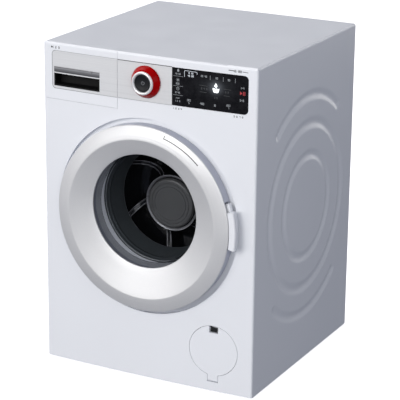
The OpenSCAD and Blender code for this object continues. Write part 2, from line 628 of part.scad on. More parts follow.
// ================= knob =================
module knob_skirt() color([0.72, 0.02, 0.03]) place() turned(0, knob_z) polygon([
  [5, -2.6], [knob_r - 0.3, -2.6], [knob_r, -2.95], [11.6, -4.6], [10, -6.8], [9.1, -7.7], [8.2, -7.7], [8.2, -5], [6.9, -4.6], [5, -4.6]]);
module knob_ring() color([0.8, 0.81, 0.82]) place() turned(0, knob_z) polygon([
  [6.9, -4.6], [8.2, -5], [8.2, -7.7], [9, -7.7], [9, -8.5], [8.6, -9.1], [8, -9.3], [7.4, -9.1], [6.9, -8.4]]);
module knob_shaft() color([0.85, 0.85, 0.86]) place() turned(0, knob_z) polygon([
  [1.6, -3.4], [1.6, 9.4], [3.1, 9.4], [3.1, -2.6], [5, -2.6], [5, -4.6], [6.9, -4.6], [6.9, -5.2], [3.4, -5.2], [3.4, -3.4]]);
module knob_clip() color("silver") place() turned(0, knob_z) polygon([[3.1, 0.7], [5.6, 0.7], [5.6, 1.4], [3.1, 1.4]]);
module power_button() color([0.05, 0.05, 0.06]) place() turned(0, knob_z) polygon([
  [0, -7.3], [3.2, -7.45], [5.2, -7.9], [6.1, -8.5], [6.6, -8.2], [6.6, -6.2], [5, -6.2], [5, -6.6], [1.2, -6.6], [1.2, 9.3], [0, 9.3]]);
module button_spring() color("silver") place() about(0, knob_z, -6.38) coil(2.4, 0.22, 0.92, 3, 12, 6);

// ================= door =================
module disc(r, z, y) about(0, z, y) cylinder(r = r, h = 0.01);
module door_ring() color([0.76, 0.77, 0.78]) place() difference() {
  union() {
    difference() {
      turned(0, door_z) polygon([
        [38, -5.2], [38, -12], [crest_r + 0.6, -crest_y], [crest_r + 1.6, -crest_y + 0.14],
        [door_r - 0.5, -9.2], [door_r, -8.8], [door_r, -8.2], [73.4, -8.2], [73.4, -7.5], [71.8, -7.5], [71.8, -5.2]]);
      // hollow behind the bevel
      turned(0, door_z) polygon([[40, -5], [40, -9.8], [crest_r + 1.6, -9.8], [69.6, -8.3], [70.4, -5]]);
    }
    // sloping inner surface, off centre
    hull() {
      disc(crest_r + 0.4, door_z, -crest_y);
      disc(win_r + 2, win_z, -4.51);
    }
    for (a = ringpos) ycyl(66.4 * cos(a), door_z + 66.4 * sin(a), -10, -1.6, 2.8);
  }
  hull() {
    disc(crest_r, door_z, -crest_y - 0.01);
    disc(win_r, win_z, -5.7);
  }
  ycyl(0, win_z, -6, 0, win_r);
  for (a = ringpos) ycyl(66.4 * cos(a), door_z + 66.4 * sin(a), -7.4, -1, 1);
  // room for the hinge and for the handle
  box([-75, -7.45, door_z - 17], [-62, 0, door_z + 17]);
  box([62, -7.45, 115], [75, 0, 161]);
  // engraved line
  about(0, door_z) mirror([0, 1, 0]) {
    rotate([0, 0, 46]) rotate_extrude(angle = 28) polygon([[69.8, -13], [70.2, -13], [70.2, -9.9], [69.8, -10]]);
    rotate([0, 0, 73.6]) rotate_extrude(angle = 0.4) polygon([[69.8, -13], [72.4, -13], [72.4, -9.3], [69.8, -10]]);
  }
}

module door_shell() color([0.93, 0.94, 0.96]) place() difference() {
  union() {
    difference() {
      ycyl(0, door_z, -7.9, 0.4, 74);
      ycyl(0, door_z, -9, -1.6, 72.2);
      ycyl(0, door_z, -9, -7.5, 73.5);
    }
    ycyl(0, win_z, -3.3, 0.4, 49.6);
    // hinge lugs
    for (s = [-1, 1]) {
      zcyl(hinge_x, hinge_y, door_z + s * 12.9 - 2.7, door_z + s * 12.9 + 2.7, 2.4);
      box([hinge_x, hinge_y - 2.4, door_z + s * 12.9 - 2.7], [hinge_x + 6, -1.5, door_z + s * 12.9 + 2.7]);
    }
    // lugs for the handle's pin
    for (z = [[115.9, 119.4], [156.6, 160.1]]) {
      zcyl(lever_x, lever_y, z[0], z[1], 2.4);
      box([lever_x - 2.4, lever_y, z[0]], [lever_x + 2.4, -1.5, z[1]]);
    }
  }
  ycyl(0, win_z, -6, 2, win_r + 1);
  // hinge notch
  box([-80, -8.5, door_z - 10.2], [-66, 2, door_z + 10.2]);
  zcyl(hinge_x, hinge_y, door_z - 20, door_z + 20, 1.05);
  // handle slot and hook slot
  box([67.9, -8.5, 119.4], [80, -1.1, 156.6]);
  box([61.4, -3, 131.4], [69.4, 2, 144.6]);
  zcyl(lever_x, lever_y, 114, 162, 1);
  for (a = ringpos) {
    ycyl(66.4 * cos(a), door_z + 66.4 * sin(a), -3, 2, 1.3);
    ycyl(66.4 * cos(a), door_z + 66.4 * sin(a), -0.6, 2, 2.6);
  }
}

module door_window() color([0.25, 0.26, 0.28, 0.5]) place() turned(0, win_z) polygon([
  [0, 4.9], [30, 4.5], [44, 4.1], [win_r - 0.2, 3.2], [win_r - 0.2, -4.5], [49.6, -4.5], [49.6, -3.3], [win_r + 0.85, -3.3],
  [win_r + 0.85, 4], [44.8, 5.2], [30, 5.7], [0, 6.1]]);

module door_screws() color("silver") place()
  for (a = ringpos) about(66.4 * cos(a), door_z + 66.4 * sin(a), -0.6) screw(2.3, 0.8, 1, 6);

module hinge_bracket() color([0.85, 0.86, 0.88]) place() difference() {
  union() {
    box([-77, floor_y + floor_t, door_z - 15], [-58, floor_y + floor_t + 2, door_z + 15]);
    box([-73.4, hinge_y, door_z - 9.8], [-70.6, floor_y + floor_t + 1, door_z + 9.8]);
    zcyl(hinge_x, hinge_y, door_z - 9.8, door_z + 9.8, 2.3);
  }
  zcyl(hinge_x, hinge_y, door_z - 20, door_z + 20, 1);
  for (z = [-12, 12]) ycyl(-63, door_z + z, 2, 9, 1.2);
}
module hinge_pin() color("silver") place() zcyl(hinge_x, hinge_y, door_z - 15.4, door_z + 15.4, 1);
module hinge_screws() color("silver") place()
  for (z = [-12, 12]) about(-63, door_z + z, floor_y + floor_t + 2) screw(2.4, 1.4, 1.2, 3.4);

// handle: a curved bar on a lever that carries the latch hook
module arc_shape(a0, a1) about(0, door_z) mirror([0, 1, 0]) rotate([0, 0, a0]) rotate_extrude(angle = a1 - a0) children();
module door_handle() color([0.93, 0.94, 0.96]) place() difference() {
  union() {
    // grip bar with softened front edges and the web behind it
    arc_shape(-8.4, 13.2) polygon([[75.6, -10.5], [76.1, -11], [80.4, -11], [81, -10.3], [81, -5.9], [80.5, -5.4], [77.6, -5.4], [77.6, -3.8], [75.6, -3.8]]);
    difference() {
      arc_shape(-9.4, 17.7) translate([66, -5.8]) square([10.4, 3.5]);
      zcyl(lever_x, lever_y, 147.6, 157, 4.2);
    }
    zcyl(lever_x, lever_y, 120, 147.4, 2.2);
    box([lever_x - 1.5, lever_y, 133], [lever_x + 1.5, 9, 143]);
    xy_hook();
  }
  zcyl(lever_x, lever_y, 110, 165, 1.05);
}
module xy_hook() translate([0, 0, 133.4]) linear_extrude(9.2)
  polygon([[lever_x - 1, 6.9], [lever_x - 3.1, 6.9], [lever_x - 3.1, 7.6], [lever_x - 1.3, 8.8], [lever_x - 1, 8.8]]);
module handle_pin() color("silver") place() zcyl(lever_x, lever_y, 116.2, 159.8, 1);
module handle_spring() color("silver") place()
  translate([lever_x, lever_y, 149]) coil(1.75, 0.3, 1.1, 5, 12, 6);
module catch_spring() color("silver") place() translate([0, 0, 134]) linear_extrude(8)
  polygon([[58, 4.1], [61, 4.1], [61, 5], [63.6, 5.4], [63.6, 6.1], [61, 6.7], [60.2, 11], [59.4, 11], [60.2, 6], [60.2, 4.9], [58, 4.9]]);

// ================= service flap =================
module service_flap() color([0.93, 0.94, 0.96]) place() {
  ay = -0.1 + bow_y(flap_x) + 1.3;
  difference() {
    union() {
      intersection() {
        bow_sheet(0, wall, 2, 60);
        difference() {
          xz(-8, 6) flap_shape(0);
          box([50, -8, 0], [68, 8, flap_axis_z]);
        }
      }
      xcyl(ay, flap_axis_z, 54.5, 63.1, 1.2);
      xcyl(ay, flap_axis_z, 53, 64.6, 0.8);
    }
    // finger notch
    xz(-8, 8) translate([55.3, 48]) square([7.6, 8]);
  }
}
module service_pocket() color([0.88, 0.89, 0.91]) place() {
  intersection() {
    difference() {
      union() {
        ycyl(flap_x, flap_z, 0, 21.6, 24.4);
        box([51.6, 0, 3.6], [66, 8, 20]);
      }
      ycyl(flap_x, flap_z, -1, 20, 22.8);
      box([53.2, -1, 5.2], [64.4, 6.4, 20]);
    }
    bow_solid(wall, 0, 0, 80);
  }
  // catch ledge seen through the notch
  box([55.9, 2.6, 51.4], [62.3, 4.2, 57]);
}

cabinet_shell();
rear_cover();
base_plate();
rubber_feet();
case_screws();
base_screws();
control_label();
display_window();
control_board();
board_parts();
board_screws();
selector_switch();
push_switch();
lamps();
speaker();
wires();
port_seal();
tub();
tub_screws();
bearing_bush();
motor();
motor_bracket();
motor_screws();
battery_box();
battery_cells();
battery_contacts();
drawer_housing();
hinge_bracket();
hinge_pin();
hinge_screws();
catch_spring();
service_pocket();
door_ring();
door_shell();
door_window();
door_screws();
handle_pin();
handle_spring();
door_handle();
drum();
drum_hub();
drum_shaft();
drum_gear();
motor_pinion();
motor_shaft();
drawer_front();
drawer_tray();
drawer_label();
grip_cup();
grip_strip();
knob_skirt();
knob_ring();
knob_shaft();
knob_clip();
power_button();
button_spring();
service_flap();
battery_door();
battery_door_screw();
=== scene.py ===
import bpy
import bmesh
import math
from mathutils import Vector, Matrix


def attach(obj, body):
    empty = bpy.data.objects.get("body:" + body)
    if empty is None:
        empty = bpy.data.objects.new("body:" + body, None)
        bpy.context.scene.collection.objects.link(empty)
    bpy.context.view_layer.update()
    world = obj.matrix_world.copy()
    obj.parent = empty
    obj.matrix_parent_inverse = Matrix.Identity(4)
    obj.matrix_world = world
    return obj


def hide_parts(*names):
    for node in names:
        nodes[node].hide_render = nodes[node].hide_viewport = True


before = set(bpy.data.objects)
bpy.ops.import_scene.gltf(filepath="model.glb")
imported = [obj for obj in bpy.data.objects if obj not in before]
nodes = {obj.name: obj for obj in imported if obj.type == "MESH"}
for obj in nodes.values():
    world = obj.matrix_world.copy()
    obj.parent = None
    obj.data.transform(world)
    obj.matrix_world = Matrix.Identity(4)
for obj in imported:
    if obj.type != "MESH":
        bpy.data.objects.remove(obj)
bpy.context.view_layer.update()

BOW_R = (92.0**2 + 2.3**2) / 4.6
DOOR_Z, WIN_Z, DRUM_Z, KNOB_Z = 132.7, 138.0, 132.5, 239.5


def P(x, y, z):
    return Vector((x / 1000.0, (y - 84.0) / 1000.0, (z + 1.0) / 1000.0))


def bow(x):
    """Depth of the bowed front surface at width x."""
    return BOW_R - 2.3 - math.sqrt(BOW_R * BOW_R - x * x)


# ------------------------------------------------------------------ materials
class Mat:
    """A small helper that builds a Principled material with procedural detail."""

    def __init__(self, name):
        self.m = bpy.data.materials.new(name)
        self.m.use_nodes = True
        self.nt = self.m.node_tree
        self.nt.nodes.clear()
        self.out = self.n("ShaderNodeOutputMaterial")
        self.b = self.n("ShaderNodeBsdfPrincipled")
        self.l(self.b.outputs[0], self.out.inputs[0])
        self.tc = self.n("ShaderNodeTexCoord")

    def n(self, kind, **kw):
        x = self.nt.nodes.new(kind)
        for k, v in kw.items():
            setattr(x, k, v)
        return x

    def l(self, a, b):
        self.nt.links.new(a, b)

    def map(self, scale=(1, 1, 1), loc=(0, 0, 0), rot=(0, 0, 0)):
        x = self.n("ShaderNodeMapping")
        x.inputs["Scale"].default_value = scale
        x.inputs["Location"].default_value = loc
        x.inputs["Rotation"].default_value = rot
        self.l(self.tc.outputs["Object"], x.inputs[0])
        return x.outputs[0]

    def noise(self, vec, scale, detail=3.0, rough=0.5):
        x = self.n("ShaderNodeTexNoise")
        x.inputs["Scale"].default_value = scale
        x.inputs["Detail"].default_value = detail
        x.inputs["Roughness"].default_value = rough
        self.l(vec, x.inputs["Vector"])
        return x.outputs[0]

    def ramp(self, fac, stops):
        x = self.n("ShaderNodeValToRGB")
        r = x.color_ramp
        while len(r.elements) < len(stops):
            r.elements.new(0.5)
        for e, (p, c) in zip(r.elements, stops):
            e.position = p
            e.color = (*c, 1.0) if len(c) == 3 else c
        self.l(fac, x.inputs[0])
        return x.outputs[0]

    def rng(self, val, a, b, c, d):
        x = self.n("ShaderNodeMapRange")
        for i, v in zip((1, 2, 3, 4), (a, b, c, d)):
            x.inputs[i].default_value = v
        self.l(val, x.inputs[0])
        return x.outputs[0]

    def math(self, op, a, b=None):
        x = self.n("ShaderNodeMath", operation=op)
        for i, v in enumerate((a, b)):
            if v is None:
                continue
            if isinstance(v, (int, float)):
                x.inputs[i].default_value = v
            else:
                self.l(v, x.inputs[i])
        return x.outputs[0]

    def bump(self, height, strength, dist, normal=None):
        x = self.n("ShaderNodeBump")
        x.inputs["Strength"].default_value = strength
        x.inputs["Distance"].default_value = dist
        self.l(height, x.inputs["Height"])
        if normal is not None:
            self.l(normal, x.inputs["Normal"])
        return x.outputs[0]

    def set(self, **kw):
        for k, v in kw.items():
            s = self.b.inputs[k.replace("_", " ")]
            if hasattr(v, "is_output"):
                self.l(v, s)
            else:
                s.default_value = (*v, 1.0) if isinstance(v, tuple) and len(v) == 3 and s.type == "RGBA" else v
        return self


def shade(c, k):
    return tuple(max(0.0, min(1.0, v * k)) for v in c)


def moulded(name, col, rough=0.35, var=0.03, patch=14.0, grain=1400.0, bump=0.06, depth=0.00002, spec=0.5, coat=0.0, coat_rough=0.08, metal=0.0):
    """Moulded or painted surface: slow colour drift, roughness patches and a very fine skin."""
    k = Mat(name)
    v = k.map()
    slow = k.noise(v, patch, 2.0)
    fine = k.noise(v, grain, 2.0, 0.6)
    k.set(
        Base_Color=k.ramp(slow, [(0.3, shade(col, 1.0 - var)), (0.7, shade(col, 1.0 + var))]),
        Roughness=k.rng(k.noise(v, patch * 5, 3.0), 0.3, 0.7, rough * 0.88, min(1.0, rough * 1.12)),
        Normal=k.bump(fine, bump, depth),
    )
    k.set(Metallic=metal, Specular_IOR_Level=spec, Coat_Weight=coat, Coat_Roughness=coat_rough)
    return k.m


def m_film():
    """Silver film with fine brushing along the width."""
    k = Mat("silver_film")
    v = k.map((3.0, 3.0, 1500.0))
    streak = k.noise(v, 1.0, 4.0, 0.65)
    v2 = k.map((7.0, 7.0, 4200.0), (3.1, 0.0, 1.7))
    fine = k.noise(v2, 1.0, 3.0, 0.6)
    both = k.math("ADD", k.math("MULTIPLY", streak, 0.6), k.math("MULTIPLY", fine, 0.4))
    k.set(
        Base_Color=k.ramp(both, [(0.34, (0.655, 0.665, 0.68)), (0.5, (0.70, 0.71, 0.725)), (0.66, (0.735, 0.745, 0.76))]),
        Roughness=k.rng(both, 0.3, 0.7, 0.46, 0.34),
        Normal=k.bump(both, 0.1, 0.00001),
        Metallic=0.15,
        Specular_IOR_Level=0.5,
    )
    return k.m


def m_turned(name, col, cx, cz, rough=0.3, metal=0.0, rings=2200.0, strength=0.25, spec=0.5, coat=0.0):
    """Surface with fine turned rings round an axis that runs from front to back."""
    k = Mat(name)
    c = P(cx, 0, cz)
    v = k.map((1, 0, 1), (-c.x, 0, -c.z))
    ln = k.n("ShaderNodeVectorMath", operation="LENGTH")
    k.l(v, ln.inputs[0])
    r = ln.outputs["Value"]
    comb = k.n("ShaderNodeCombineXYZ")
    k.l(r, comb.inputs[0])
    line = k.noise(comb.outputs[0], rings, 2.0, 0.7)
    drift = k.noise(k.map(), 30.0, 2.0)
    k.set(
        Base_Color=k.ramp(k.math("ADD", k.math("MULTIPLY", line, 0.5), k.math("MULTIPLY", drift, 0.5)), [(0.35, shade(col, 0.9)), (0.65, shade(col, 1.1))]),
        Roughness=k.rng(line, 0.3, 0.7, rough * 0.8, rough * 1.2),
        Normal=k.bump(line, strength, 0.00003),
        Metallic=metal,
        Specular_IOR_Level=spec,
        Coat_Weight=coat,
    )
    return k.m


def m_strip_painted_highlights():
    """Bright trim with painted highlights: light lines painted along the rolled edges below and above, a darker face
    between and a dark line under the top one.
    """
    k = Mat("strip_trim_painted_highlights")
    c = P(0, 0, 236.3)
    v = k.map((1, 1, 1), (0, 0, -c.z))
    sep = k.n("ShaderNodeSeparateXYZ")
    k.l(v, sep.inputs[0])
    h = k.rng(sep.outputs[2], 0.0, 0.0053, 0.0, 1.0)
    # painted highlights: the light stops at the bottom and top of the strip stand in for light on its rolled edges
    k.set(
        Base_Color=k.ramp(h, [(0.0, (0.86, 0.87, 0.88)), (0.11, (0.82, 0.83, 0.84)), (0.18, (0.07, 0.072, 0.08)), (0.55, (0.17, 0.172, 0.18)), (0.8, (0.34, 0.345, 0.36)), (0.88, (0.05, 0.05, 0.052)), (0.97, (0.7, 0.71, 0.72))]),
        Roughness=k.rng(k.noise(k.map(), 60.0, 3.0), 0.3, 0.7, 0.26, 0.34),
        Normal=k.bump(k.noise(k.map(), 1500.0, 2.0), 0.03, 0.00001),
        Metallic=0.25,
        Specular_IOR_Level=0.5,
    )
    return k.m


def m_emit(name, col, strength, base=(0.02, 0.02, 0.02)):
    """Back-lit mark: a soft unevenness, as light through print has."""
    k = Mat(name)
    v = k.map()
    n = k.noise(v, 900.0, 2.0)
    k.set(
        Base_Color=base,
        Emission_Color=k.ramp(n, [(0.2, shade(col, 0.8)), (0.8, col)]),
        Emission_Strength=strength,
        Roughness=0.4,
    )
    return k.m


def m_display():
    """Black window with a faint glow round the middle sign."""
    k = Mat("display_black")
    c = P(58.3, -1.4, 242.0)
    v = k.map((1, 0, 1), (-c.x, 0, -c.z))
    ln = k.n("ShaderNodeVectorMath", operation="LENGTH")
    k.l(v, ln.inputs[0])
    glow = k.rng(ln.outputs["Value"], 0.0, 0.0085, 1.0, 0.0)
    glow = k.math("POWER", k.math("MAXIMUM", glow, 0.0), 2.0)
    v2 = k.map((0.55, 0, 1), (-c.x * 0.55, 0, -(c.z + 0.0002)))
    ln2 = k.n("ShaderNodeVectorMath", operation="LENGTH")
    k.l(v2, ln2.inputs[0])
    haze = k.rng(ln2.outputs["Value"], 0.0, 0.013, 1.0, 0.0)
    haze = k.math("POWER", k.math("MAXIMUM", haze, 0.0), 2.0)
    lines = k.noise(k.map((12, 12, 1500)), 1.0, 2.0)
    tot = k.math("ADD", k.math("MULTIPLY", glow, 0.16), k.math("MULTIPLY", k.math("MULTIPLY", haze, lines), 0.07))
    dust = k.noise(k.map(), 260.0, 4.0)
    k.set(
        Base_Color=k.ramp(dust, [(0.3, (0.004, 0.004, 0.005)), (0.75, (0.009, 0.009, 0.011))]),
        Roughness=k.rng(dust, 0.3, 0.7, 0.2, 0.27),
        Specular_IOR_Level=0.22,
        Emission_Color=(0.8, 0.88, 1.0),
        Emission_Strength=tot,
    )
    return k.m


def m_smoke(name, t0, t1, gloss):
    """Smoke-tinted clear moulding: to look through, with gloss on its faces."""
    m = bpy.data.materials.new(name)
    m.use_nodes = True
    nt = m.node_tree
    nt.nodes.clear()
    out = nt.nodes.new("ShaderNodeOutputMaterial")
    mix = nt.nodes.new("ShaderNodeMixShader")
    tr = nt.nodes.new("ShaderNodeBsdfTransparent")
    b = nt.nodes.new("ShaderNodeBsdfPrincipled")
    fr = nt.nodes.new("ShaderNodeFresnel")
    tc = nt.nodes.new("ShaderNodeTexCoord")
    nz = nt.nodes.new("ShaderNodeTexNoise")
    cr = nt.nodes.new("ShaderNodeValToRGB")
    mr = nt.nodes.new("ShaderNodeMapRange")
    ad = nt.nodes.new("ShaderNodeMath")
    bp = nt.nodes.new("ShaderNodeBump")
    nz.inputs["Scale"].default_value = 45.0
    nz.inputs["Detail"].default_value = 3.0
    cr.color_ramp.elements[0].color = (*t0, 1)
    cr.color_ramp.elements[1].color = (*t1, 1)
    fr.inputs["IOR"].default_value = 1.3
    ad.operation = "ADD"
    ad.inputs[1].default_value = gloss
    b.inputs["Base Color"].default_value = (0.02, 0.021, 0.024, 1)
    b.inputs["Specular IOR Level"].default_value = 0.5
    bp.inputs["Strength"].default_value = 0.03
    bp.inputs["Distance"].default_value = 0.0002
    mr.inputs[3].default_value = 0.07
    mr.inputs[4].default_value = 0.13
    L = nt.links.new
    L(tc.outputs["Object"], nz.inputs["Vector"])
    L(nz.outputs[0], cr.inputs[0])
    L(cr.outputs[0], tr.inputs["Color"])
    L(nz.outputs[0], mr.inputs[0])
    L(mr.outputs[0], b.inputs["Roughness"])
    L(nz.outputs[0], bp.inputs["Height"])
    L(bp.outputs[0], b.inputs["Normal"])
    L(fr.outputs[0], ad.inputs[0])
    gm = nt.nodes.new("ShaderNodeNewGeometry")
    front = nt.nodes.new("ShaderNodeMath")
    front.operation = "SUBTRACT"
    front.inputs[0].default_value = 1.0
    once = nt.nodes.new("ShaderNodeMath")
    once.operation = "MULTIPLY"
    L(gm.outputs["Backfacing"], front.inputs[1])
    L(ad.outputs[0], once.inputs[0])
    L(front.outputs[0], once.inputs[1])
    L(once.outputs[0], mix.inputs[0])
    L(tr.outputs[0], mix.inputs[1])
    L(b.outputs[0], mix.inputs[2])
    L(mix.outputs[0], out.inputs[0])
    return m


WHITE = (0.815, 0.835, 0.875)
M = {
    "white": moulded("white_gloss", WHITE, 0.34, 0.008, 9.0, 1600.0, 0.05, 0.00002, 0.45, 0.0),
    "white_matte": moulded("white_matte", shade(WHITE, 0.95), 0.5, 0.015, 12.0, 900.0, 0.3, 0.00004),
    "inner": moulded("inner_white", (0.6, 0.62, 0.65), 0.5, 0.03, 18.0, 900.0, 0.15),
    "film": m_film(),
    "display": m_display(),
    "chrome": moulded("chrome_trim", (0.74, 0.75, 0.77), 0.16, 0.03, 60.0, 1500.0, 0.02, 0.00001, 0.5, 0.0, 0.08, 1.0),
    "knob_chrome": moulded("knob_chrome", (0.80, 0.80, 0.81), 0.36, 0.03, 60.0, 1500.0, 0.02, 0.00001, 0.5, 0.0, 0.08, 0.35),
    # strip: painted highlights along the trim's edges
    "strip": m_strip_painted_highlights(),
    # door shell: the cabinet white darkened and tinted lavender, painted shade for the shadowed door wall
    "door_painted_shade_white": moulded("door_painted_shade_white", (0.50, 0.52, 0.60), 0.4, 0.01, 9.0, 1600.0, 0.05, 0.00002, 0.4),
    "red": moulded("red_gloss", (0.36, 0.0005, 0.0012), 0.16, 0.18, 70.0, 1300.0, 0.03, 0.00001, 0.1),
    # collar: a grey much lighter than the black drum, painted highlight on the hub collar and vane edges; the collar's
    # dished face also catches real light
    "collar": moulded("collar_painted_highlight_grey", (0.16, 0.16, 0.17), 0.3, 0.1, 60.0, 1500.0, 0.03, 0.00001, 0.5, 0.0, 0.08, 0.4),
    # bead: a grey much lighter than the seal, painted highlight lines on the seal's edge and lip
    "bead": moulded("seal_bead_painted_highlight", (0.20, 0.21, 0.225), 0.3, 0.1, 60.0, 1500.0, 0.03, 0.00001),
    "button": moulded("button_black", (0.010, 0.011, 0.013), 0.45, 0.15, 60.0, 1300.0, 0.05, 0.00002, 0.22),
    # painted shade lines: grey and dark strips laid along the film edges and in the ring's engraved groove
    "painted_shade_line": moulded("painted_shade_grey_line", (0.30, 0.31, 0.33), 0.5, 0.1, 90.0, 1500.0, 0.05),
    "painted_shade_dark_line": moulded("painted_shade_dark_line", (0.05, 0.052, 0.056), 0.5, 0.1, 90.0, 1500.0, 0.05),
    "black_gloss": moulded("black_gloss", (0.006, 0.0065, 0.008), 0.16, 0.2, 30.0, 900.0, 0.03, 0.00002, 0.5),
    "black_matte": moulded("black_matte", (0.009, 0.009, 0.010), 0.55, 0.2, 30.0, 900.0, 0.2, 0.00004, 0.35),
    "grip": moulded("grip_black", (0.003, 0.003, 0.0032), 0.6, 0.2, 30.0, 900.0, 0.2, 0.00004, 0.2),
    "smoke": m_smoke("smoke_window", (0.90, 0.91, 0.93), (0.93, 0.94, 0.955), 0.0),
    "smoke_dark": m_smoke("smoke_edge", (0.60, 0.61, 0.625), (0.66, 0.67, 0.685), 0.03),
    "hub": m_turned("hub_grey", (0.062, 0.063, 0.064), 0, DRUM_Z, 0.42, 0.0, 1500.0, 0.35, 0.4),
    "rubber": moulded("rubber_black", (0.02, 0.02, 0.021), 0.75, 0.15, 40.0, 1200.0, 0.3, 0.00005, 0.3),
    "seal": moulded("seal_grey", (0.040, 0.046, 0.050), 0.36, 0.12, 26.0, 1000.0, 0.08, 0.00003, 0.4),
    "steel": moulded("steel", (0.55, 0.55, 0.57), 0.32, 0.06, 60.0, 2000.0, 0.08, 0.00001, 0.5, 0.0, 0.08, 1.0),
    "spring": moulded("spring_steel", (0.42, 0.42, 0.44), 0.28, 0.06, 90.0, 2400.0, 0.08, 0.00001, 0.5, 0.0, 0.08, 1.0),
    "brass": moulded("brass", (0.7, 0.48, 0.2), 0.3, 0.06, 60.0, 1800.0, 0.08, 0.00001, 0.5, 0.0, 0.08, 1.0),
    "nylon": moulded("nylon", (0.72, 0.70, 0.62), 0.45, 0.04, 40.0, 1200.0, 0.1),
    "board": moulded("board_green", (0.02, 0.13, 0.06), 0.4, 0.25, 160.0, 900.0, 0.2, 0.00004),
    "lamp": moulded("lamp_clear", (0.75, 0.82, 0.9), 0.15, 0.03, 60.0, 1500.0, 0.02),
    "wire": moulded("wire_red", (0.4, 0.015, 0.015), 0.45, 0.1, 60.0, 1500.0, 0.1),
    "cell": moulded("cell_wrap", (0.35, 0.35, 0.07), 0.3, 0.08, 60.0, 1500.0, 0.05),
    "speaker": m_turned("speaker_black", (0.015, 0.015, 0.016), 46, 205, 0.6, 0.0, 900.0, 0.4, 0.3),
}
USE = {
    "white": "cabinet_shell drawer_front service_flap door_handle",
    "door_painted_shade_white": "door_shell",
    "knob_chrome": "knob_ring",
    "strip": "grip_strip",
    "button": "power_button",
    "white_matte": "rear_cover base_plate battery_door",
    "inner": "tub drawer_housing drawer_tray service_pocket hinge_bracket motor_bracket",
    "film": "control_label drawer_label",
    "display": "display_window",
    "red": "knob_skirt",
    "black_gloss": "drum",
    "black_matte": "battery_box board_parts selector_switch push_switch",
    "grip": "grip_cup",
    "smoke": "door_window",
    "hub": "drum_hub",
    "rubber": "rubber_feet",
    "seal": "port_seal",
    "steel": "case_screws base_screws board_screws tub_screws motor_screws hinge_screws door_screws battery_door_screw hinge_pin handle_pin drum_shaft motor_shaft knob_clip motor battery_contacts",
    "spring": "catch_spring handle_spring button_spring",
    "brass": "bearing_bush motor_pinion",
    "nylon": "drum_gear knob_shaft",
    "board": "control_board",
    "lamp": "lamps",
    "wire": "wires",
    "cell": "battery_cells",
    "speaker": "speaker",
}
for key, names in USE.items():
    for name in names.split():
        o = nodes[name]
        if not o.material_slots:
            o.data.materials.append(M[key])
        for s in o.material_slots:
            s.material = M[key]


# ------------------------------------------------------------------ mesh helpers
def add(name, verts, faces, mat, body, smooth=True):
    me = bpy.data.meshes.new(name)
    me.from_pydata([tuple(v) for v in verts], [], faces)
    me.validate()
    bm = bmesh.new()
    bm.from_mesh(me)
    bmesh.ops.recalc_face_normals(bm, faces=bm.faces)
    bm.to_mesh(me)
    bm.free()
    for p in me.polygons:
        p.use_smooth = smooth
    me.materials.append(mat)
    o = bpy.data.objects.new(name, me)
    bpy.context.scene.collection.objects.link(o)
    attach(o, body)
    return o


def loft(rings, seg=256, closed=True, angles=None, cut=None):
    """Rings are (radius, centre height, depth) in the drawing frame, all round an axis that runs front to back.
    cut(radius, angle) pushes a point back by that much."""
    an = angles or [360.0 * i / seg for i in range(seg)]
    seg = len(an)
    v, f = [], []
    for r, zc, y in rings:
        for a in an:
            t = math.radians(a)
            v.append(P(r * math.cos(t), y + (cut(r, a) if cut and zc == DOOR_Z and y < -9 else 0.0), zc + r * math.sin(t)))
    n = len(rings)
    for j in range(n if closed else n - 1):
        k = (j + 1) % n
        for i in range(seg):
            i2 = (i + 1) % seg
            f.append((j * seg + i, j * seg + i2, k * seg + i2, k * seg + i))
    return v, f


def corner(p0, p1, p2, d, n=3):
    """Points that round the corner p1 of a section line, from d before it to d after it."""
    a, b, c = (Vector(q) for q in (p0, p1, p2))
    u = b + (a - b).normalized() * d
    w = b + (c - b).normalized() * d
    out = []
    for i in range(n + 1):
        t = i / n
        out.append(tuple(u.lerp(b, t).lerp(b.lerp(w, t), t)))
    return out


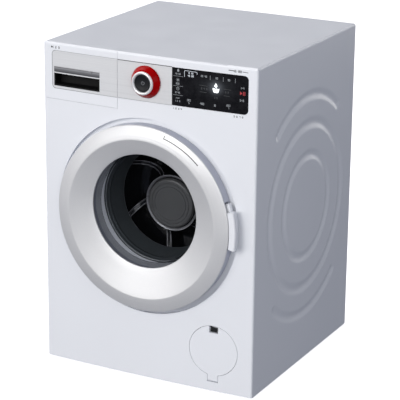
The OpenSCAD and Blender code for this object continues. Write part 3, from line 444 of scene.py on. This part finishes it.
# ------------------------------------------------------------------ door ring, finely lofted
def build_ring():
    # (radius, centre height, depth)
    back_in = (47.2, WIN_Z, -4.5)
    sect = [
        (71.8, DOOR_Z, -7.5),
        (73.4, DOOR_Z, -7.5),
        (73.4, DOOR_Z, -8.2),
        (74.28, DOOR_Z, -8.2),
        (74.3, DOOR_Z, -8.8),
        (73.7, DOOR_Z, -9.25),
        (64.8, DOOR_Z, -11.86),
        (63.2, DOOR_Z, -12.0),
        (45.2, WIN_Z, -5.7),
        (45.2, WIN_Z, -4.5),
        back_in,
        (63.6, DOOR_Z, -10.2),
        (69.6, DOOR_Z, -8.3),
        (71.8, DOOR_Z, -7.9),
    ]
    soft = {4: 0.25, 5: 0.35, 6: 0.9, 7: 0.35, 8: 0.45}
    rings = []
    n = len(sect)
    for i, p in enumerate(sect):
        if i in soft:
            rings += corner(sect[i - 1], p, sect[(i + 1) % n], soft[i], 4)
        else:
            rings.append(p)
    # the bevel is very slightly crowned
    out = []
    line_r = [69.55, 69.68, 70.32, 70.45]

    def crown(r):
        t = (r - 64.8) / (73.7 - 64.8)
        return -11.86 + t * (11.86 - 9.25) - 0.16 * math.sin(math.pi * t)

    for i, p in enumerate(rings):
        q = rings[(i + 1) % len(rings)]
        out.append(p)
        if abs(p[0] - q[0]) > 5 and p[1] == q[1] and p[2] < -9 and q[2] < -9 and p[0] > q[0]:
            for r in sorted([73.0, 72.5, 72.3, 71.5, 70.9, 69.0, 68.0, 67.0, 66.0] + line_r, reverse=True):
                if q[0] + 0.05 < r < p[0] - 0.05:
                    out.append((r, p[1], crown(r)))
        elif abs(p[0] - q[0]) > 5 and p[1] != q[1]:
            for t in (0.25, 0.5, 0.75):
                out.append(tuple(a + (b - a) * t for a, b in zip(p, q)))

    def cut(r, a):
        inside = 45.9 < a < 74.0 and 69.6 < r < 70.4
        hook = 73.5 < a < 74.0 and 69.6 < r < 72.4
        return 0.35 if inside or hook else 0.0

    an = sorted([360.0 * i / 288 for i in range(288)] + [45.8, 45.95, 73.35, 73.52, 73.98, 74.1])
    v, f = loft(out, angles=an, cut=cut)
    k = Mat("ring_silver")
    c = P(0, 0, DOOR_Z)
    vec = k.map((1, 0, 1), (-c.x, 0, -c.z))
    ln = k.n("ShaderNodeVectorMath", operation="LENGTH")
    k.l(vec, ln.inputs[0])
    comb = k.n("ShaderNodeCombineXYZ")
    k.l(ln.outputs["Value"], comb.inputs[0])
    turned = k.noise(comb.outputs[0], 1700.0, 3.0, 0.7)
    fleck = k.noise(k.map(), 5200.0, 1.0)
    slow = k.noise(k.map(), 22.0, 2.0)
    both = k.math("ADD", k.math("MULTIPLY", fleck, 0.45), k.math("ADD", k.math("MULTIPLY", slow, 0.3), k.math("MULTIPLY", turned, 0.25)))
    k.set(
        Base_Color=k.ramp(both, [(0.35, (0.66, 0.665, 0.675)), (0.65, (0.74, 0.745, 0.755))]),
        Roughness=k.rng(both, 0.35, 0.65, 0.38, 0.46),
        Normal=k.bump(both, 0.1, 0.00001),
        Metallic=0.35,
        Specular_IOR_Level=0.5,
    )
    M["ring"] = k.m
    ring = add("door_ring_fine", v, f, k.m, "door")
    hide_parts("door_ring")
    # painted shade: dark faces at the bottom of the engraved line
    ring.data.materials.append(M["black_matte"])
    for p in ring.data.polygons:
        low = 0
        for vi in p.vertices:
            c = ring.data.vertices[vi].co
            x, y, z = c.x * 1000, c.y * 1000 + 84, c.z * 1000 - 1
            r = math.hypot(x, z - DOOR_Z)
            if x > 0 and z > DOOR_Z and 69.5 < r < 72.6 and y - crown(r) > 0.2:
                low += 1
        if low >= 2:
            p.material_index = 1
            p.use_smooth = False


build_ring()


# ------------------------------------------------------------------ window, finely lofted
def build_window():
    face = [(0.05, WIN_Z, 4.9), (15, WIN_Z, 4.8), (30, WIN_Z, 4.5), (38, WIN_Z, 4.3), (43.4, WIN_Z, 4.0)]
    back = [(44.6, WIN_Z, 5.2), (38, WIN_Z, 5.5), (30, WIN_Z, 5.7), (15, WIN_Z, 6.0), (0.05, WIN_Z, 6.1)]
    v, f = loft(face + back, 256)
    a = add("window_face", v, f, M["smoke"], "door")
    wall = [
        (43.4, WIN_Z, 4.0), (44.3, WIN_Z, 3.8), (44.8, WIN_Z, 3.2), (44.9, WIN_Z, 2.4), (45.0, WIN_Z, -4.5), (49.6, WIN_Z, -4.5),
        (49.6, WIN_Z, -3.3), (46.05, WIN_Z, -3.3), (46.05, WIN_Z, 3.6), (45.7, WIN_Z, 4.6), (44.6, WIN_Z, 5.2),
    ]
    v, f = loft(wall, 256)
    b = add("window_wall", v, f, M["smoke_dark"], "door")
    for o in (a, b):
        o.visible_shadow = False
        o.visible_diffuse = False
    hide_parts("door_window")
    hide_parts("door_window")


build_window()


# ------------------------------------------------------------------ signs and print
def surf(x, z, lift):
    return P(x, bow(x) - lift, z)


def poly_sheet(name, polys, mat, body, lift, thick=0.02):
    """Flat shapes in (x, z), laid on the bowed front as a thin raised sheet: print and signs, and also the painted
    shade lines along the film edges.
    """
    v, f = [], []
    for pts in polys:
        n = len(pts)
        b = len(v)
        v += [surf(x, z, lift + thick) for x, z in pts]
        v += [surf(x, z, lift) for x, z in pts]
        f.append(tuple(range(b, b + n)))
        for i in range(n):
            j = (i + 1) % n
            f.append((b + i, b + n + i, b + n + j, b + j))
    return add(name, v, f, mat, body, smooth=False)


def stroke(pts, w, closed=False):
    """A line of width w as quads."""
    out = []
    n = len(pts)
    for i in range(n if closed else n - 1):
        (x0, z0), (x1, z1) = pts[i], pts[(i + 1) % n]
        d = math.hypot(x1 - x0, z1 - z0)
        if d < 1e-6:
            continue
        ex, ez = (x1 - x0) / d * w * 0.4, (z1 - z0) / d * w * 0.4
        nx, nz = -(z1 - z0) / d * w / 2, (x1 - x0) / d * w / 2
        out.append([(x0 - ex + nx, z0 - ez + nz), (x0 - ex - nx, z0 - ez - nz), (x1 + ex - nx, z1 + ez - nz), (x1 + ex + nx, z1 + ez + nz)])
    return out


def arc(cx, cz, r, a0, a1, n=14):
    return [(cx + r * math.cos(math.radians(a0 + (a1 - a0) * i / n)), cz + r * math.sin(math.radians(a0 + (a1 - a0) * i / n))) for i in range(n + 1)]


def disc(cx, cz, r, n=20):
    return [(cx + r * math.cos(2 * math.pi * i / n), cz + r * math.sin(2 * math.pi * i / n)) for i in range(n)]


SEGS = {"0": "abcdef", "1": "bc", "2": "abged", "3": "abgcd", "4": "fgbc", "5": "afgcd", "6": "afgedc", "7": "abc", "8": "abcdefg", "9": "abfgcd", "-": "g", " ": ""}


def digits(s, cx, cz, h, w=None, t=None):
    """Plain numbers, centred on (cx, cz)."""
    w = w or h * 0.52
    t = t or h * 0.2
    step = w + h * 0.3
    out = []
    x = cx - step * (len(s) - 1) / 2
    for ch in s:
        if ch == ":":
            out += [disc(x, cz + h * 0.2, t * 0.6, 8), disc(x, cz - h * 0.2, t * 0.6, 8)]
        elif ch == ".":
            out += [disc(x, cz - h * 0.5, t * 0.6, 8)]
        else:
            hw, hh = w / 2, h / 2
            lines = {
                "a": ((-hw, hh), (hw, hh)), "b": ((hw, hh), (hw, 0)), "c": ((hw, 0), (hw, -hh)), "d": ((-hw, -hh), (hw, -hh)),
                "e": ((-hw, 0), (-hw, -hh)), "f": ((-hw, hh), (-hw, 0)), "g": ((-hw, 0), (hw, 0)),
            }
            for k in SEGS[ch]:
                (a, b), (c, d) = lines[k]
                out += stroke([(x + a, cz + b), (x + c, cz + d)], t)
        x += step
    return out


def build_display():
    lift = 0.052
    bright = m_emit("sign_white", (0.86, 0.92, 1.0), 0.95)
    mid = m_emit("sign_grey", (0.75, 0.8, 0.86), 0.42)
    dim = m_emit("sign_dim", (0.6, 0.65, 0.7), 0.07)
    red = m_emit("sign_red", (1.0, 0.06, 0.08), 0.5)
    hot = m_emit("sign_glow", (0.93, 0.97, 1.0), 2.2)
    W, G, D, R, H = [], [], [], [], []
    # left column: four signs, each with a number under it and a line between
    # drop
    G += [[(27.2, 253.1), (26.3, 251.6), (26.4, 250.9), (27.2, 250.5), (28.0, 250.9), (28.1, 251.6)]]
    G += digits("40 60", 27.0, 249.0, 1.1)
    # sun
    G += [disc(27.0, 244.3, 0.62, 12)]
    for i in range(8):
        a = math.radians(45 * i)
        G += stroke([(27 + 0.95 * math.cos(a), 244.3 + 0.95 * math.sin(a)), (27 + 1.35 * math.cos(a), 244.3 + 1.35 * math.sin(a))], 0.24)
    G += digits("800", 26.8, 241.5, 1.2)
    # clock
    G += stroke(arc(26.9, 237.7, 1.15, 0, 360, 18), 0.28) + stroke([(26.9, 237.7), (26.9, 238.5)], 0.24) + stroke([(26.9, 237.7), (27.5, 237.5)], 0.24)
    G += digits("0:45", 26.8, 234.7, 1.2)
    # wave
    G += stroke([(25.4, 230.2), (26.0, 230.7), (26.6, 230.2), (27.2, 230.7), (27.8, 230.2), (28.4, 230.7)], 0.34)
    G += digits("1 2 3", 26.7, 228.2, 1.1)
    for z in (247.2, 239.7, 232.7):
        G += stroke([(23.2, z), (31.2, z)], 0.2)
    # top row
    W += stroke([(32.4, 247.4), (32.4, 251.6), (33.2, 252.2), (42.6, 251.9), (42.9, 251.2), (42.9, 250.2)], 0.3)
    W += digits("15 30", 37.4, 250.6, 1.1) + digits("45 60", 37.6, 248.5, 1.2)
    G += digits("20 40", 48.4, 249.6, 1.25)
    G += digits("60", 59.0, 249.3, 1.25)
    G += digits("90", 68.8, 249.0, 1.25)
    for x in (53.6, 64.2, 73.9):
        G += stroke([(x, 250.7), (x, 247.5)], 0.26)
    # middle sign: a drop standing over a tub
    H += [[(58.3, 245.6), (57.3, 243.9), (57.1, 243.2), (57.5, 242.5), (58.3, 242.2), (59.1, 242.5), (59.5, 243.2), (59.3, 243.9)]]
    H += [[(55.7, 241.6), (55.9, 240.2), (56.4, 238.7), (57.2, 238.2), (59.6, 238.2), (60.4, 238.7), (60.9, 240.2), (61.1, 241.6), (60.0, 241.1), (58.9, 241.6), (57.8, 241.1), (56.8, 241.6)]]
    D += digits("2 4 6", 48.8, 240.2, 1.3) + stroke([(45.4, 237.6), (50.8, 237.4)], 0.3)
    D += stroke([(44.8, 242.6), (51.5, 242.4)], 0.24)
    D += digits("8 9", 67.3, 239.6, 1.2) + stroke([(64.6, 241.9), (70.5, 241.7)], 0.24) + stroke([(64.8, 236.9), (69.5, 236.7)], 0.24)
    D += digits("0 0", 58.4, 234.4, 1.1)
    # right: start sign
    G += digits("1-4", 79.5, 244.2, 1.4)
    R += [[(77.9, 241.6), (77.9, 238.9), (79.7, 240.2)]]
    R += stroke([(80.5, 241.4), (80.5, 239.0)], 0.55) + stroke([(81.7, 241.4), (81.7, 239.0)], 0.55)
    G += digits("5-8", 79.4, 234.9, 1.4)
    # bottom row
    G += digits("30", 36.2, 229.9, 1.3, 1.2) + digits("5", 36.3, 227.8, 1.2)
    G += digits("400", 47.2, 228.5, 1.4)
    G += digits("10", 57.4, 228.5, 1.4)
    G += digits("20", 68.6, 229.8, 1.3, 1.2) + digits("7", 68.8, 227.7, 1.2)
    for nm, shapes, mat in (("signs_bright", W, bright), ("signs_grey", G, mid), ("signs_dim", D, dim), ("sign_start", R, red), ("sign_middle", H, hot)):
        poly_sheet(nm, shapes, mat, "casing", lift)


build_display()


def build_print():
    ink = moulded("print_ink", (0.03, 0.03, 0.035), 0.5, 0.1, 80.0, 1500.0, 0.05)
    fine = []
    fine += digits("8:88", 76.0, 256.4, 1.5, 1.0)
    fine += stroke([(68.6, 256.6), (73.0, 256.45)], 0.55) + stroke([(79.6, 256.4), (84.0, 256.2)], 0.4)
    fine += digits("1 2 3 4", 26.6, 222.2, 1.2, 0.75)
    fine += digits("5 6 7 8", 76.8, 222.2, 1.2, 0.75)
    poly_sheet("casing_print", fine, ink, "casing", 0.005)
    poly_sheet("drawer_print", digits("1 2 3", -80.4, 256.3, 1.6, 0.95) + [disc(-84.0, 256.4, 0.75, 14)], ink, "drawer", 0.005)


build_print()


def build_button_mark():
    """Small power sign on the button's dished face."""
    grey = moulded("sign_button", (0.22, 0.23, 0.25), 0.4, 0.05, 90.0, 1500.0, 0.03)

    def face(x, z):
        r = math.hypot(x, z - KNOB_Z)
        y = -7.3 - 0.15 * min(1.0, r / 3.2)
        return P(x, y - 0.03, z)

    v, f = [], []
    for pts in stroke(arc(0, KNOB_Z, 1.25, 120, 420, 22), 0.3) + stroke([(0, KNOB_Z + 0.5), (0, KNOB_Z + 1.6)], 0.3):
        b = len(v)
        v += [face(x, z) for x, z in pts]
        f.append((b, b + 1, b + 2, b + 3))
    add("button_sign", v, f, grey, "button", smooth=False)


build_button_mark()


# ------------------------------------------------------------------ stage, light, camera
def build_lines():
    """Painted shade: a dark band in the engraved groove on the ring, and thin grey and dark lines along the film's
    edges where its shadow lines fall.
    """
    def crown(r):
        t = (r - 64.8) / (73.7 - 64.8)
        return -11.86 + t * (11.86 - 9.25) - 0.16 * math.sin(math.pi * t)

    def band(name, cells):
        v, f = [], []
        for a0, a1, r0, r1 in cells:
            n = max(1, int(abs(a1 - a0)))
            b = len(v)
            for i in range(n + 1):
                a = math.radians(a0 + (a1 - a0) * i / n)
                for r, up in ((r0, 0.02), (r1, 0.02), (r1, -0.25), (r0, -0.25)):
                    v.append(P(r * math.cos(a), crown(r) - up, DOOR_Z + r * math.sin(a)))
            f.append((b, b + 1, b + 2, b + 3))
            e = b + 4 * n
            f.append((e + 3, e + 2, e + 1, e))
            for i in range(n):
                for j in range(4):
                    k = (j + 1) % 4
                    f.append((b + 4 * i + j, b + 4 * i + k, b + 4 * i + 4 + k, b + 4 * i + 4 + j))
        return add(name, v, f, M["painted_shade_dark_line"], "door", smooth=False)

    # painted shade: a dark band laid in the engraved groove
    band("ring_line", [(46.0, 74.0, 69.66, 70.34), (73.45, 74.0, 70.34, 72.3)])
    sx = -25.0

    def along(x0, x1, z, w):
        n = max(1, int((x1 - x0) / 4))
        return stroke([(x0 + (x1 - x0) * i / n, z) for i in range(n + 1)], w)

    # painted shadow lines along the lower, left and top edges of the drawer's film and the panel's film
    low = stroke(arc(-80.85, 227.15, 3.02, 180, 270, 10), 0.42) + along(-80.8, sx - 0.5, 224.13, 0.36)
    left = stroke([(-83.87, 250.8), (-83.87, 227.2)], 0.5) + stroke(arc(-80.85, 250.85, 3.02, 90, 180, 10), 0.42)
    poly_sheet("drawer_edge", low + left, M["painted_shade_line"], "drawer", 0.004)
    top = along(-80.8, sx - 0.5, 253.9, 0.2)
    poly_sheet("drawer_edge_top", top, M["painted_shade_line"], "drawer", 0.004)
    poly_sheet("panel_edge_top", along(sx + 0.4, 21.8, 253.72, 0.56), M["painted_shade_dark_line"], "casing", 0.004)
    poly_sheet("panel_edge_low", along(sx + 0.4, 21.8, 224.25, 0.26), M["painted_shade_line"], "casing", 0.004)


build_lines()


def build_beads():
    """Fine moulded edges: two on the seal and the dished collar round the hub, in lighter greys than the dark parts
    they sit on: painted highlight lines on the seal, and on the collar a painted highlight beside the light its dished
    face really catches.
    """
    def bead(name, r, z, y, w, mat, body):
        v, f = loft([(r + w * math.cos(math.radians(45 * i)), z, y + w * math.sin(math.radians(45 * i))) for i in range(8)], 160)
        add(name, v, f, mat, body)

    bead("seal_edge", 45.75, WIN_Z, 15.0, 0.24, M["bead"], "casing")
    bead("seal_lip", 40.75, WIN_Z, 34.2, 0.28, M["bead"], "casing")
    v, f = loft([(20.5, DRUM_Z, 40.6), (21.2, DRUM_Z, 39.7), (22.3, DRUM_Z, 38.9), (22.7, DRUM_Z, 38.9), (22.9, DRUM_Z, 39.2), (21.4, DRUM_Z, 41.6)], 160)
    add("hub_collar", v, f, M["collar"], "drum_unit")


build_beads()


def build_vane_edges():
    """Rounded edges along both sides of each vane, thickest half way out, in a lighter grey than the black drum as
    painted highlight lines.
    """
    prof = [(21.0, 46.6), (23.4, 49.4), (27.0, 51.6), (32.0, 52.4), (37.0, 51.2), (41.6, 48.2), (45.2, 44.2), (47.6, 40.8), (49.0, 38.6)]

    def depth(r):
        for (r0, y0), (r1, y1) in zip(prof, prof[1:]):
            if r <= r1:
                return y0 + (y1 - y0) * max(0.0, r - r0) / (r1 - r0)
        return prof[-1][1]

    v, f = [], []
    for i in range(6):
        turn = math.radians(60 * i + 5)
        for rad in (36.5, 39.5):
            pts = []
            for j in range(60):
                a = math.radians(-80 + 60 * j / 59)
                x, z = 12.4 + rad * math.cos(a), 37.2 + rad * math.sin(a)
                r = math.hypot(x, z)
                if 21.8 < r < 48.4:
                    pts.append((x * math.cos(turn) - z * math.sin(turn), x * math.sin(turn) + z * math.cos(turn), depth(r)))
            n = len(pts)
            b = len(v)
            for j, (x, z, y) in enumerate(pts):
                q0, q1 = pts[max(0, j - 1)], pts[min(n - 1, j + 1)]
                t = Vector((q1[0] - q0[0], q1[2] - q0[2], q1[1] - q0[1])).normalized()
                side = t.cross(Vector((0, 1, 0))).normalized()
                up = side.cross(t).normalized()
                w = 0.12 + 0.5 * math.sin(math.pi * j / (n - 1)) ** 0.8
                for k in range(8):
                    a = math.radians(45 * k)
                    d = side * (w * math.cos(a)) + up * (w * math.sin(a))
                    v.append(P(x + d.x, y + d.y, DRUM_Z + z + d.z))
            f.append(tuple(b + k for k in range(8)))
            f.append(tuple(b + 8 * (n - 1) + 7 - k for k in range(8)))
            for j in range(n - 1):
                for k in range(8):
                    k2 = (k + 1) % 8
                    f.append((b + 8 * j + k, b + 8 * j + 8 + k, b + 8 * j + 8 + k2, b + 8 * j + k2))
    add("vane_edges", v, f, M["collar"], "drum_unit")


build_vane_edges()


def build_stage():
    s = 7.0
    me = bpy.data.meshes.new("floor")
    me.from_pydata([(-s, -s, 0), (s, -s, 0), (s, s, 0), (-s, s, 0)], [], [(0, 1, 2, 3)])
    o = bpy.data.objects.new("floor", me)
    bpy.context.scene.collection.objects.link(o)
    k = Mat("floor_pale")
    n = k.noise(k.map(), 6.0, 3.0)
    k.set(
        Base_Color=k.ramp(n, [(0.3, (0.93, 0.93, 0.935)), (0.7, (0.96, 0.96, 0.965))]),
        Roughness=0.8,
        Specular_IOR_Level=0.2,
        Emission_Color=(1.0, 1.0, 1.0),
        Emission_Strength=0.75,
    )
    o.data.materials.append(k.m)
    o.visible_diffuse = False
    o.visible_glossy = False


def area(name, loc, target, size, power, col=(1, 1, 1), size_y=None):
    li = bpy.data.lights.new(name, "AREA")
    li.energy = power
    li.color = col
    li.shape = "RECTANGLE"
    li.size = size
    li.size_y = size_y or size
    o = bpy.data.objects.new(name, li)
    o.location = loc
    o.rotation_euler = (Vector(target) - Vector(loc)).to_track_quat("-Z", "Y").to_euler()
    bpy.context.scene.collection.objects.link(o)
    return o


def round_light(name, az, el, dist, size, power, col):
    """A soft light placed round the object: az from the front towards the right, el above the floor, in degrees."""
    a, e = math.radians(az), math.radians(el)
    t = (0.0, 0.0, 0.12)
    loc = (dist * math.cos(e) * math.sin(a), -dist * math.cos(e) * math.cos(a), t[2] + dist * math.sin(e))
    return area(name, loc, t, size, power, col)


def build_light():
    w = bpy.data.worlds.new("studio")
    w.use_nodes = True
    bg = w.node_tree.nodes["Background"]
    bg.inputs[0].default_value = (0.83, 0.90, 1.17, 1)
    bg.inputs[1].default_value = 0.15
    bpy.context.scene.world = w
    warm = (1.0, 0.982, 0.955)
    round_light("key", -10, 25, 3.2, 1.3, 48.0, warm)
    round_light("key_low", -35, 8, 3.2, 1.3, 17.6, warm)
    round_light("fill", 30, 12, 1.8, 1.2, 9.1, (1.0, 0.985, 0.965))
    round_light("side", 65, 25, 0.9, 0.5, 0.75, (0.96, 0.98, 1.0))
    round_light("left", -80, 20, 2.0, 1.2, 7.8, (1.0, 0.985, 0.97))
    round_light("back", 165, 10, 2.0, 1.2, 10.0, warm)
    round_light("top", -120, 60, 2.0, 1.4, 15.8, warm)


def build_camera():
    cam = bpy.data.cameras.new("camera")
    cam.sensor_width = 36.0
    cam.lens = 163.02
    cam.clip_start = 0.05
    cam.clip_end = 50.0
    o = bpy.data.objects.new("camera", cam)
    r = Vector((0.8855048, 0.46451491, 0.01035087))
    u = Vector((-0.15045568, 0.26559401, 0.9522725))
    b = Vector((0.43959565, -0.84479922, 0.30507368))
    m = Matrix((r, u, b)).transposed().to_4x4()
    m.translation = P(645.723, -1153.615, 569.630)
    o.matrix_world = m
    bpy.context.scene.collection.objects.link(o)
    bpy.context.scene.camera = o


build_stage()
build_light()
build_camera()
bpy.context.scene.view_settings.view_transform = "Standard"
bpy.context.scene.view_settings.look = "None"
